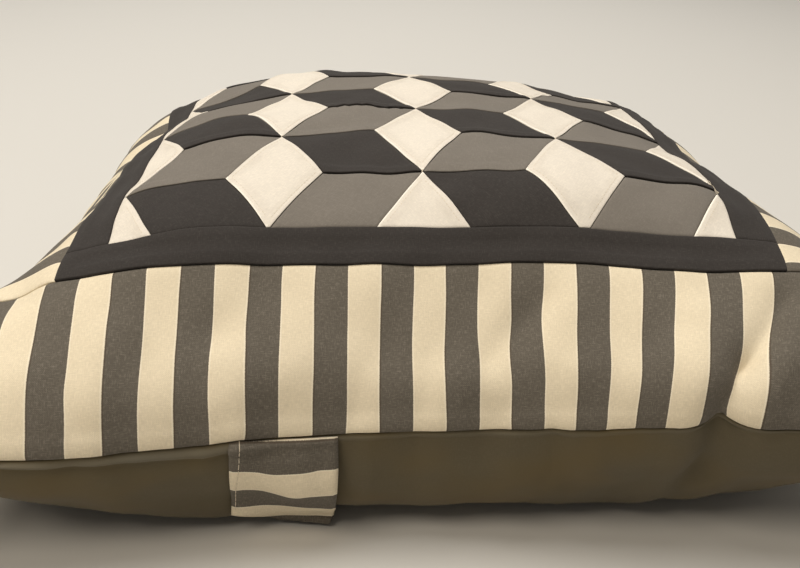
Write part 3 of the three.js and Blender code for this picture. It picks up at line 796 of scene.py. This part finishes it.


# One diamond as rings of points from its edge to its middle, with places, the shade of its allowance and the
# painted highlight on its edge
def patchShape(corners, cloth, seed):
    draw = np.random.default_rng(seed)
    middle, depth = innerMiddle(corners)
    kinds = edgeKinds(corners, cloth)
    edge = []
    for k, start in enumerate(corners):
        end = corners[(k + 1) % len(corners)]
        count = max(2, round(math.dist(start, end) / panel["boundaryStep"]))
        edge += [np.add(start, np.subtract(end, start) * n / count) for n in range(count)]
    edge = np.array(edge)
    insets = [panel["gap"] + x for x in seamInsets if x < depth - 3]
    insets += list(np.arange(insets[-1] + panel["innerStep"], depth - 1.5, panel["innerStep"]))
    bottomInsets = [panel["gap"] + panel["tuck"], panel["bottomInset"], depth * 0.5]

    def ring(inset):
        return middle + (edge - middle) * (1 - inset / depth)

    flat = np.concatenate([ring(x) for x in insets] + [middle[None]])
    distances = edgeDistances(flat, corners)
    lift = patchLift(distances, kinds)
    shade = np.zeros(len(flat))
    comes, whole, goes, gone = panel["shadeBand"]
    for distance, kind in zip(distances, kinds):
        if kind == "beside":
            band = smoothStep(distance, comes, whole) * (1 - smoothStep(distance, goes, gone))
            shade = np.maximum(shade, band)
            # painted highlight: shade below nothing makes the cream's edge paler, standing in for a rolled edge
            # catching the light
            shade = shade - panel["paintedEdgeLightDepth"] * (1 - smoothStep(distance, *panel["paintedEdgeLightBand"]))
    under = np.concatenate([ring(x) for x in bottomInsets] + [middle[None]])
    warped, warpedUnder = seamWander(flat), seamWander(under)
    points = np.concatenate([onFront(*warped.T, lift),
                             onFront(*warpedUnder.T, np.full(len(under), cover["clothUnder"]))])
    grain = np.subtract(corners[1], corners[0]) / math.dist(corners[0], corners[1])
    turned = np.stack([flat @ grain, flat @ np.array([-grain[1], grain[0]]), np.zeros(len(flat))], 1)
    turned += draw.uniform(-400, 400, 3)    # each diamond is cut from another place of the cloth
    places = np.concatenate([turned, np.repeat(turned[:1], len(under), 0)])
    shades = np.concatenate([shade, np.zeros(len(under))])
    count = len(edge)
    faces = []

    def ringFaces(rings, start, up):
        for r in range(rings - 1):
            outer = start + r * count + np.arange(count)
            inner = outer + count
            quads = np.stack([outer, np.roll(outer, -1), np.roll(inner, -1), inner], 1)
            faces.extend((quads if up else quads[:, ::-1]).tolist())
        last = start + (rings - 1) * count + np.arange(count)
        tips = np.stack([last, np.roll(last, -1), np.full(count, start + rings * count)], 1)
        faces.extend((tips if up else tips[:, ::-1]).tolist())

    ringFaces(len(insets), 0, True)
    ringFaces(len(bottomInsets), len(flat), False)
    faces.extend(rimFaces(list(range(count)), list(range(len(flat), len(flat) + count))))
    return points, faces, places, shades


# Several meshes as one, each still closed
def joined(parts):
    points, faces, extra = [], [], [[] for _ in parts[0][2:]]
    start = 0
    for part in parts:
        points.append(part[0])
        faces += [[n + start for n in face] for face in part[1]]
        for held, more in zip(extra, part[2:]):
            held.append(more)
        start += len(part[0])
    return [np.concatenate(points), faces, *[np.concatenate(x) for x in extra]]


diamonds = [(cloth, corners) for cloth, corners in pattern() if corners]
patchLooks = {
    "cream": (creamCloth, "cream_cloth"), "grey": (greyCloth, "grey_cloth"),
    "charcoal": (charcoalCloth, "charcoal_cloth"),
}
for cloth, (material, slot) in patchLooks.items():
    own = [(n, corners) for n, (kind, corners) in enumerate(diamonds) if kind == cloth]
    points, faces, places, shades = joined([patchShape(corners, cloth, n) for n, corners in own])
    piece = meshPiece(f"{cloth}_diamonds", points, faces, material, places, shades)
    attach(piece, "root")
    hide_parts("patchwork_panel")


strips = {
    "step": 3.0, "inset": 0.15,
    # dip, rounding, ridge and allowance of each kind of seam
    "seams": {"patch": (0.5, 0.4, 0.35, 6), "frame": (0.4, 0.35, 0.7, 7), "border": (1.0, 1.0, 0.0, 6),
              "butt": (0.8, 0.7, 0.15, 6), "rim": (1.5, 1.2, 0.35, 8)},
}
# The frame and the border round the diamonds: inner and outer edge, the seams there, the cloth, and how far
# its weave or stripes are shifted along and across each strip
bands = {
    "frame": {
        "edges": (cover["panelHalf"], cover["frameHalf"]), "seams": ("patch", "frame"),
        "node": "frame_strip", "slot": "charcoal_cloth", "material": charcoalCloth,
        "shift": {"near": (0, 0), "far": (60, 0), "left": (0, 90), "right": (33, 0)},
    },
    "border": {
        "edges": (cover["frameHalf"], cover["half"]), "seams": ("border", "rim"),
        "node": "border", "slot": "striped_cloth", "material": stripedCloth,
        "shift": {"near": (155.6, 0), "far": (152.0, 0), "left": (168.0, 0), "right": (161.5, 0)},
    },
}


# A cut strip of the front. seams names its left, right, near and far seam.
def stripPiece(band, side, uRange, vRange, seams):
    values, inset = bands[band], strips["inset"]
    us = cutLines(uRange[0] + inset, uRange[1] - inset, strips["step"])
    vs = cutLines(vRange[0] + inset, vRange[1] - inset, strips["step"])
    u, v = np.meshgrid(us, vs, indexing="ij")
    distances = (u - uRange[0], uRange[1] - u, v - vRange[0], vRange[1] - v)
    lift = cover["clothTop"] + seamRelief(distances, seams, strips["seams"])
    points, faces = sheetOf(onFront(u, v, lift), onFront(u, v, np.full(u.shape, cover["clothUnder"])))
    along, across = (u, v) if side in ("near", "far") else (v, u)
    shiftAlong, shiftAcross = values["shift"][side]
    places = np.stack([along + shiftAlong, across + shiftAcross, np.zeros_like(u)], -1).reshape(-1, 3)
    places = np.concatenate([places, places])
    piece = meshPiece(f"{band}_{side}_cloth", points, faces, values["material"], places)
    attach(piece, "root")
    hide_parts(f"{values['node']}_{side}")


for band, values in bands.items():
    (low, high), (inner, outer) = values["edges"], values["seams"]
    stripPiece(band, "near", (-high, high), (-high, -low), (outer, outer, outer, inner))
    stripPiece(band, "far", (-high, high), (low, high), (outer, outer, inner, outer))
    stripPiece(band, "left", (-high, -low), (-low, low), (outer, inner, "butt", "butt"))
    stripPiece(band, "right", (low, high), (-low, low), (inner, outer, "butt", "butt"))
print("strips and borders made")


backPiece = {
    "step": 4.0, "lift": 0.5, "rimRise": 2.0,
    # how wide and high the back cloth rolls over the seam allowance, and how softly the roll ends
    "roll": (4.0, 1.5), "rollEnd": 2.5,
    # along the near seam: place, how wide the roll is, and how high
    "nearRoll": [(-250, 7.0, 3.0), (-95, 5.4, 2.4), (-60, 1.8, 1.0), (0, 1.6, 0.8), (250, 1.8, 1.0)],
    "restHeight": (1.0, 12.0),      # the lift fades between these heights, so the back rests flat
    "paintedLightFrom": 0.6, "paintedLightFull": 1.5,     # the part of the lift that takes the painted highlight
}


# How far the back cloth lies off the filling, with its roll beside the outer seam
def backLift(u, v):
    def risen(distance, width):
        return np.sin(np.clip(distance / width, 0, 1) * math.pi / 2)

    def roll(distance, width, rise):
        return rise * risen(distance, width) * (1 - smoothStep(distance, width, width + backPiece["rollEnd"]))

    half = cover["half"]
    places, widths, rises = zip(*backPiece["nearRoll"])
    near = roll(half + v, np.interp(u, places, widths), np.interp(u, places, rises))
    ends = np.where(v < 0, near, roll(half - v, *backPiece["roll"]))
    inside = risen(half - np.maximum(np.abs(u), np.abs(v)), backPiece["rimRise"])
    return inside * (backPiece["lift"] + np.maximum(roll(half - np.abs(u), *backPiece["roll"]), ends))


# The filling's top under the front, and the back cloth below, joined along the outer seam
def backCover():
    cuts = cutLines(-cover["half"], cover["half"], backPiece["step"])
    u, v = np.meshgrid(cuts, cuts, indexing="ij")
    size = len(cuts)
    top = onFront(u, v, np.zeros(u.shape)).reshape(-1, 3)
    lift = backLift(u, v)
    under = onBack(u, v, lift * smoothStep(sample(back, u, v)[..., 2], *backPiece["restHeight"]))
    under[..., 2] = np.maximum(under[..., 2], 0)
    under = under.reshape(-1, 3)
    rim = gridRim(size, size)
    onRim = np.zeros(size * size, bool)
    onRim[rim] = True
    number = np.arange(size * size)
    number[~onRim] = size * size + np.arange((~onRim).sum())
    faces = gridFaces(size, size)
    faces += [[int(number[n]) for n in face] for face in gridFaces(size, size, up=False)]
    points = np.concatenate([top, under[~onRim]])
    flat = np.stack([u, v, np.zeros_like(u)], -1).reshape(-1, 3)
    # where the back's roll takes the painted highlight, strongest where the cloth lifts most
    paintedRollMask = np.clip(lift - backPiece["paintedLightFrom"], 0, backPiece["paintedLightFull"]).reshape(-1)
    paintedRollMask = paintedRollMask / backPiece["paintedLightFull"]
    shade = np.concatenate([np.zeros(size * size), paintedRollMask[~onRim]])
    return points, faces, np.concatenate([flat, flat[~onRim]]), shade


points, faces, places, shade = backCover()
cushion = meshPiece("back_and_filling", points, faces, backCloth, places, shade)
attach(cushion, "root")
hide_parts("filled_cushion")
print("back made")


tab = {
    "left": -85.5, "right": -38.8, "top": 0.6, "length": 64.0, "thickness": 1.7, "step": 1.6,
    "pressed": 0.45, "pressedReach": 3,     # it is pressed thinner where the seam catches it
    "swing": -3.6, "spread": 0.055, "spreadReach": 30,      # how it hangs over to the left and widens
    "arch": {"rise": 5.6, "across": 0.68, "down": 25.0, "reachAcross": 0.50, "reachDown": 22.0, "start": 10},
    # soft dents and swellings of the hanging cloth: share across, distance down, reach, rise
    "swellings": [(0.36, 17, 8, 1.6), (0.60, 29, 9, 1.4), (0.12, 30, 10, -1.0), (0.85, 14, 8, -0.8)],
    "swellStart": (2, 10), "clear": 0.4, "floor": 0.3,      # clear of the back, and of what it all lies on
    # the free end curls forward, more to the right
    "curl": {"rise": 8.5, "reach": 3.2, "fall": 0.5, "fallFrom": (25, 64), "lean": 0.8,
             "towards": (0, -0.9, -0.44)},
    "cornerRadius": 2.4, "edgeRounding": 0.5, "edgeReach": 0.8,
    "hem": [(0, -12.5), (0.17, -8.8), (0.3, -3.2), (0.45, 0.4), (0.6, 0.3), (1, 0.35)],
    "stripeStart": 15.9, "drawnUp": (0.6, 2.8), "drawnLean": 1.5,       # its stripes are drawn up at the left
}


def tabThickness(down):
    pressed = tab["pressed"]
    return tab["thickness"] * (pressed + (1 - pressed) * smoothStep(down, 0, tab["pressedReach"]))


# Flat place across a row of the back that lies a level distance from the middle
def placeAcross(x, v):
    u = np.array(x, float)
    for _ in range(10):    # settles well before the tenth round
        u = u + x - sample(back, u, v)[..., 0]
    return u


# Point of the tab at a share of its width and a distance below the seam
def tabPoint(across, down, lift):
    arch, curl, width = tab["arch"], tab["curl"], tab["right"] - tab["left"]
    acrossArch = (across - arch["across"]) / arch["reachAcross"]
    downArch = (down - arch["down"]) / arch["reachDown"]
    hang = arch["rise"] * np.exp(-(acrossArch ** 2 + downArch ** 2)) * np.clip(down / arch["start"], 0, 1)
    for place, low, reach, rise in tab["swellings"]:
        away = ((across - place) * width) ** 2 + (down - low) ** 2
        hang = hang + rise * np.exp(-away / reach ** 2) * smoothStep(down, *tab["swellStart"])
    v = down - cover["half"]
    wide = 1 + tab["spread"] * np.clip(down / tab["spreadReach"], 0, 1)
    level = tab["left"] + width * (0.5 + (across - 0.5) * wide) + tab["swing"] * (down / tab["length"]) ** 2
    u = placeAcross(level, v)
    point = onBack(u, v, backLift(u, v) + tab["clear"] + lift + np.maximum(hang, 0))
    forward = curl["fall"] * smoothStep(down, *curl["fallFrom"])
    forward = forward + curl["rise"] * np.exp((down - tab["length"]) / curl["reach"])
    point = point + (across ** curl["lean"] * forward)[..., None] * np.array(curl["towards"])
    point[..., 2] = np.maximum(point[..., 2], tab["floor"])
    return point


# The tab from its top end to its uneven hem, with rounded edges
def tabMesh():
    width = tab["right"] - tab["left"]
    fromLeft = np.linspace(0, width, round(width / tab["step"]) + 1)
    share = np.linspace(0, 1, round(tab["length"] / tab["step"]) + 1)
    radius = tab["cornerRadius"]
    intoCorner = np.clip(radius - (width - fromLeft), 0, radius)
    ends = tab["length"] - (radius - np.sqrt(np.maximum(0, radius ** 2 - intoCorner ** 2)))
    ends = ends + np.interp(fromLeft / width, *zip(*tab["hem"]))
    across = np.repeat(fromLeft[:, None], len(share), 1)
    down = tab["top"] + (ends[:, None] - tab["top"]) * share[None]
    edge = np.minimum(np.minimum(across, width - across), ends[:, None] - down)
    rounding = 1 - tab["edgeRounding"] * np.exp(-edge / tab["edgeReach"])
    thickness = tabThickness(down)
    top = tabPoint(across / width, down, thickness * rounding)
    bottom = tabPoint(across / width, down, thickness * (1 - rounding) * 0.5)
    points, faces = sheetOf(bottom, top)
    drawnTop, drawnHem = tab["drawnUp"]
    drawnUp = drawnTop + drawnHem * (down / tab["length"]) ** 2
    drawnUp = drawnUp * (1 - across / width) ** tab["drawnLean"]
    places = np.stack([down - tab["stripeStart"] + drawnUp, across, np.zeros_like(across)], -1).reshape(-1, 3)
    return points, faces, np.concatenate([places, places])


points, faces, places = tabMesh()
tabCloth = meshPiece("tab_cloth", points, faces, stripedCloth, places)
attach(tabCloth, "root")
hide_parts("striped_tab")
print("tab made")


thread = {
    "panel": (1.7, 0.5, 0.13), "tab": (3.4, 0.25, 0.2),     # length of a stitch, gap and radius
    "sides": 5, "inset": 2.7, "leastDepth": 6,      # diamonds less deep than this are left without stitches
    # each stitch sinks into the cloth at its ends
    "steps": np.array([0, 0.2, 0.5, 0.8, 1.0]), "rise": np.array([-0.14, 0.0, 0.03, 0.0, -0.14]),
    "taper": 0.45, "tip": 0.3,
    # the tab's line of stitches: how far from its left edge, its slant and wave, and where it stops
    "tabLine": {"inset": 4.1, "slant": -0.055, "wave": 0.25, "waveEvery": 7, "length": 50.0},
}


# A closed round tube along points, thinner at its ends and with a short tip
def tube(path, radius, sides):
    path = np.asarray(path, float)
    along = np.gradient(path, axis=0)
    along /= np.linalg.norm(along, axis=1, keepdims=True)
    side = np.cross(along, (0.13, 0.21, 0.97))     # a direction that no thread runs in
    side /= np.linalg.norm(side, axis=1, keepdims=True)
    up = np.cross(side, along)
    turn = np.linspace(0, 2 * math.pi, sides, endpoint=False)
    width = np.full(len(path), radius)
    width[[0, -1]] *= thread["taper"]
    rings = path[:, None] + width[:, None, None] * (
        side[:, None] * np.cos(turn)[None, :, None] + up[:, None] * np.sin(turn)[None, :, None])
    tip = radius * thread["tip"]
    points = np.concatenate([rings.reshape(-1, 3), path[:1] - along[:1] * tip, path[-1:] + along[-1:] * tip])
    faces = []
    for r in range(len(path) - 1):
        a = r * sides + np.arange(sides)
        b = a + sides
        faces += np.stack([a, np.roll(a, -1), np.roll(b, -1), b], 1).tolist()
    first, last = len(points) - 2, len(points) - 1
    a, b = np.arange(sides), (len(path) - 1) * sides + np.arange(sides)
    faces += np.stack([np.roll(a, -1), a, np.full(sides, first)], 1).tolist()
    faces += np.stack([b, np.roll(b, -1), np.full(sides, last)], 1).tolist()
    return points, faces


# Stitches of a sewn line. pointAt gives the surface point at distances along it.
def stitchesAlong(pointAt, length, draw, stitch, gap, radius):
    made = []
    place = draw.uniform(0, 1)
    while place + stitch < length:
        size = stitch * draw.uniform(0.9, 1.1)
        made.append(tube(pointAt(place + size * thread["steps"], thread["rise"]), radius, thread["sides"]))
        place += size + gap
    return made


# Topstitching on the cream diamonds, beside the seams to their neighbours
def panelStitches():
    made = []
    draw = np.random.default_rng(11)
    for cloth, corners in diamonds:
        if cloth != "cream":
            continue
        kinds = edgeKinds(corners, cloth)
        middle, depth = innerMiddle(corners)
        if depth < thread["leastDepth"]:
            continue
        shrunk = [middle + np.subtract(c, middle) * (1 - thread["inset"] / depth) for c in corners]
        for k, kind in enumerate(kinds):
            if kind != "beside":
                continue
            start, end = shrunk[k], shrunk[(k + 1) % len(corners)]
            length = math.dist(start, end)

            def pointAt(distance, rise):
                flat = start + np.outer(distance / length, end - start)
                lift = patchLift(edgeDistances(flat, corners), kinds)
                flat = seamWander(flat)
                return onFront(*flat.T, lift + rise)

            made += stitchesAlong(pointAt, length, draw, *thread["panel"])
    return made


def tabStitches():
    draw = np.random.default_rng(12)
    line, width = thread["tabLine"], tab["right"] - tab["left"]

    def pointAt(distance, rise):
        wave = line["wave"] * np.sin(distance / line["waveEvery"])
        fromLeft = line["inset"] + line["slant"] * distance + wave
        return tabPoint(fromLeft / width, distance, tabThickness(distance) + rise)

    return stitchesAlong(pointAt, line["length"], draw, *thread["tab"])


looseThread = {
    # knots where the tips of pale diamonds meet: (column, phase), and their path as across, along and lift
    "knots": [(3, 1), (9, 1), (6, 0.5), (6, 1.5), (3, 2), (9, 2)], "knotRadius": 0.4, "sides": 6,
    "knotPath": [(-0.3, -1.0, -0.6), (0, -0.3, 0.1), (0.2, 0.4, 0.1), (0, 1.1, -0.6)],
    # a loose end at the right side of the centre: plain points, and loops as middle, reach both ways and start
    "start": [(144.6, -113)], "firstLoop": (146.2, -109.8, 1.0, 2.0, 1.2),
    "between": [(146.3, -106.2), (146.0, -104.4)],
    "secondLoop": (145.4, -101.6, 0.8, 2.6, 2), "end": [(144.6, -98.6)],
    "radius": 0.13, "lift": 0.4, "wave": 0.3, "waveTurn": 0.8, "caught": 0.3,
}


def looseEnds():
    made = []
    across, along, rise = np.array(looseThread["knotPath"]).T
    for knot in looseThread["knots"]:
        u, v = patternSpot(*knot)
        path = onFront(u + across, v + along, cover["clothTop"] + rise)
        made.append(tube(path, looseThread["knotRadius"], looseThread["sides"]))
    turn = np.linspace(0, 2 * math.pi, 15)

    def loop(u, v, reachU, reachV, start):
        return np.stack([u + reachU * np.cos(turn - start), v + reachV * np.sin(turn - start)], 1)

    flat = np.concatenate([looseThread["start"], loop(*looseThread["firstLoop"]), looseThread["between"],
                           loop(*looseThread["secondLoop"]), looseThread["end"]])
    wave = looseThread["wave"] * np.sin(np.arange(len(flat)) * looseThread["waveTurn"])
    lift = cover["clothTop"] + looseThread["lift"] + wave
    lift[[0, -1]] = cover["clothTop"] - looseThread["caught"]
    made.append(tube(onFront(*flat.T, lift), looseThread["radius"], looseThread["sides"]))
    return made


threadMaterial = clothMaterial("sewing thread", {**cloths["cream"], **cloths["sewingThread"]})
points, faces = joined(panelStitches() + looseEnds())
stitches = meshPiece("panel_stitches", points, faces, threadMaterial, points)
points, faces = joined(tabStitches())
tabThread = meshPiece("tab_stitches", points, faces, threadMaterial, points)
for piece in (stitches, tabThread):
    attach(piece, "root")
print("stitches made")


studio = {
    "floorHalf": 6000, "floorHeight": -0.3, "floorColour": (0.64, 0.62, 0.58), "floorRoughness": 0.9,
    "floorSpecular": 0.2, "airColour": (1.0, 0.95, 0.88), "airStrength": 0.18,
    # name, place, what it points at, size, power, colour
    "lights": [
        ("overhead softbox", (-0.35, 0.15, 2.6), (0, 0, 0.08), 1.9, 56, (1.0, 0.965, 0.91)),
        ("front softbox", (-1.1, -1.3, 2.1), (0, 0, 0.08), 1.0, 23, (1.0, 0.90, 0.76)),
        ("far wash", (0.0, 1.9, 1.8), (0, 1.9, 0), 1.6, 14, (1.0, 0.98, 0.95)),
    ],
}

floorMaterial = bpy.data.materials.new("pale floor")
floorMaterial.use_nodes = True
shader = floorMaterial.node_tree.nodes["Principled BSDF"]
shader.inputs["Base Color"].default_value = (*studio["floorColour"], 1)
shader.inputs["Roughness"].default_value = studio["floorRoughness"]
shader.inputs["Specular IOR Level"].default_value = studio["floorSpecular"]
signs = ((-1, -1), (1, -1), (1, 1), (-1, 1))
floorCorners = [(x * studio["floorHalf"], y * studio["floorHalf"], studio["floorHeight"]) for x, y in signs]
floor = meshPiece("floor", floorCorners, [[0, 1, 2, 3]], floorMaterial, smooth=False)

for name, place, target, size, power, colour in studio["lights"]:
    data = bpy.data.lights.new(name, "AREA")
    data.shape = "DISK"
    data.size, data.energy, data.color = size, power, colour
    lamp = bpy.data.objects.new(name, data)
    lamp.location = place
    lamp.rotation_mode = "QUATERNION"
    lamp.rotation_quaternion = (Vector(target) - Vector(place)).to_track_quat("-Z", "Y")
    bpy.context.scene.collection.objects.link(lamp)

world = bpy.data.worlds.new("studio")
world.use_nodes = True
air = world.node_tree.nodes["Background"]
air.inputs["Color"].default_value = (*studio["airColour"], 1)
air.inputs["Strength"].default_value = studio["airStrength"]
bpy.context.scene.world = world
bpy.context.scene.view_settings.view_transform = "Standard"
print("floor and lights made")

cameraSet = {    # place in millimetres, angles in radians
    "place": (-30.8, -533.6, 300.6), "yaw": 0.0509, "pitch": 0.4538, "roll": 0.0415,
    "lens": 40.5, "sensor": 36, "clipStart": 0.01,
}


def makeCamera():
    yaw, pitch, roll = cameraSet["yaw"], cameraSet["pitch"], cameraSet["roll"]
    forward = Vector((math.sin(yaw) * math.cos(pitch), math.cos(yaw) * math.cos(pitch), -math.sin(pitch)))
    right = Vector((math.cos(yaw), -math.sin(yaw), 0))
    up = right.cross(forward)
    side = right * math.cos(roll) + up * math.sin(roll)
    top = up * math.cos(roll) - right * math.sin(roll)
    data = bpy.data.cameras.new("camera")
    data.lens, data.sensor_width, data.sensor_fit = cameraSet["lens"], cameraSet["sensor"], "HORIZONTAL"
    data.clip_start = cameraSet["clipStart"]
    camera = bpy.data.objects.new("camera", data)
    turn = Matrix((side, top, -forward)).transposed().to_4x4()
    place = (Vector(cameraSet["place"]) + Vector(cover["middle"])) * mm
    camera.matrix_world = Matrix.Translation(place) @ turn
    bpy.context.scene.collection.objects.link(camera)
    bpy.context.scene.camera = camera


makeCamera()
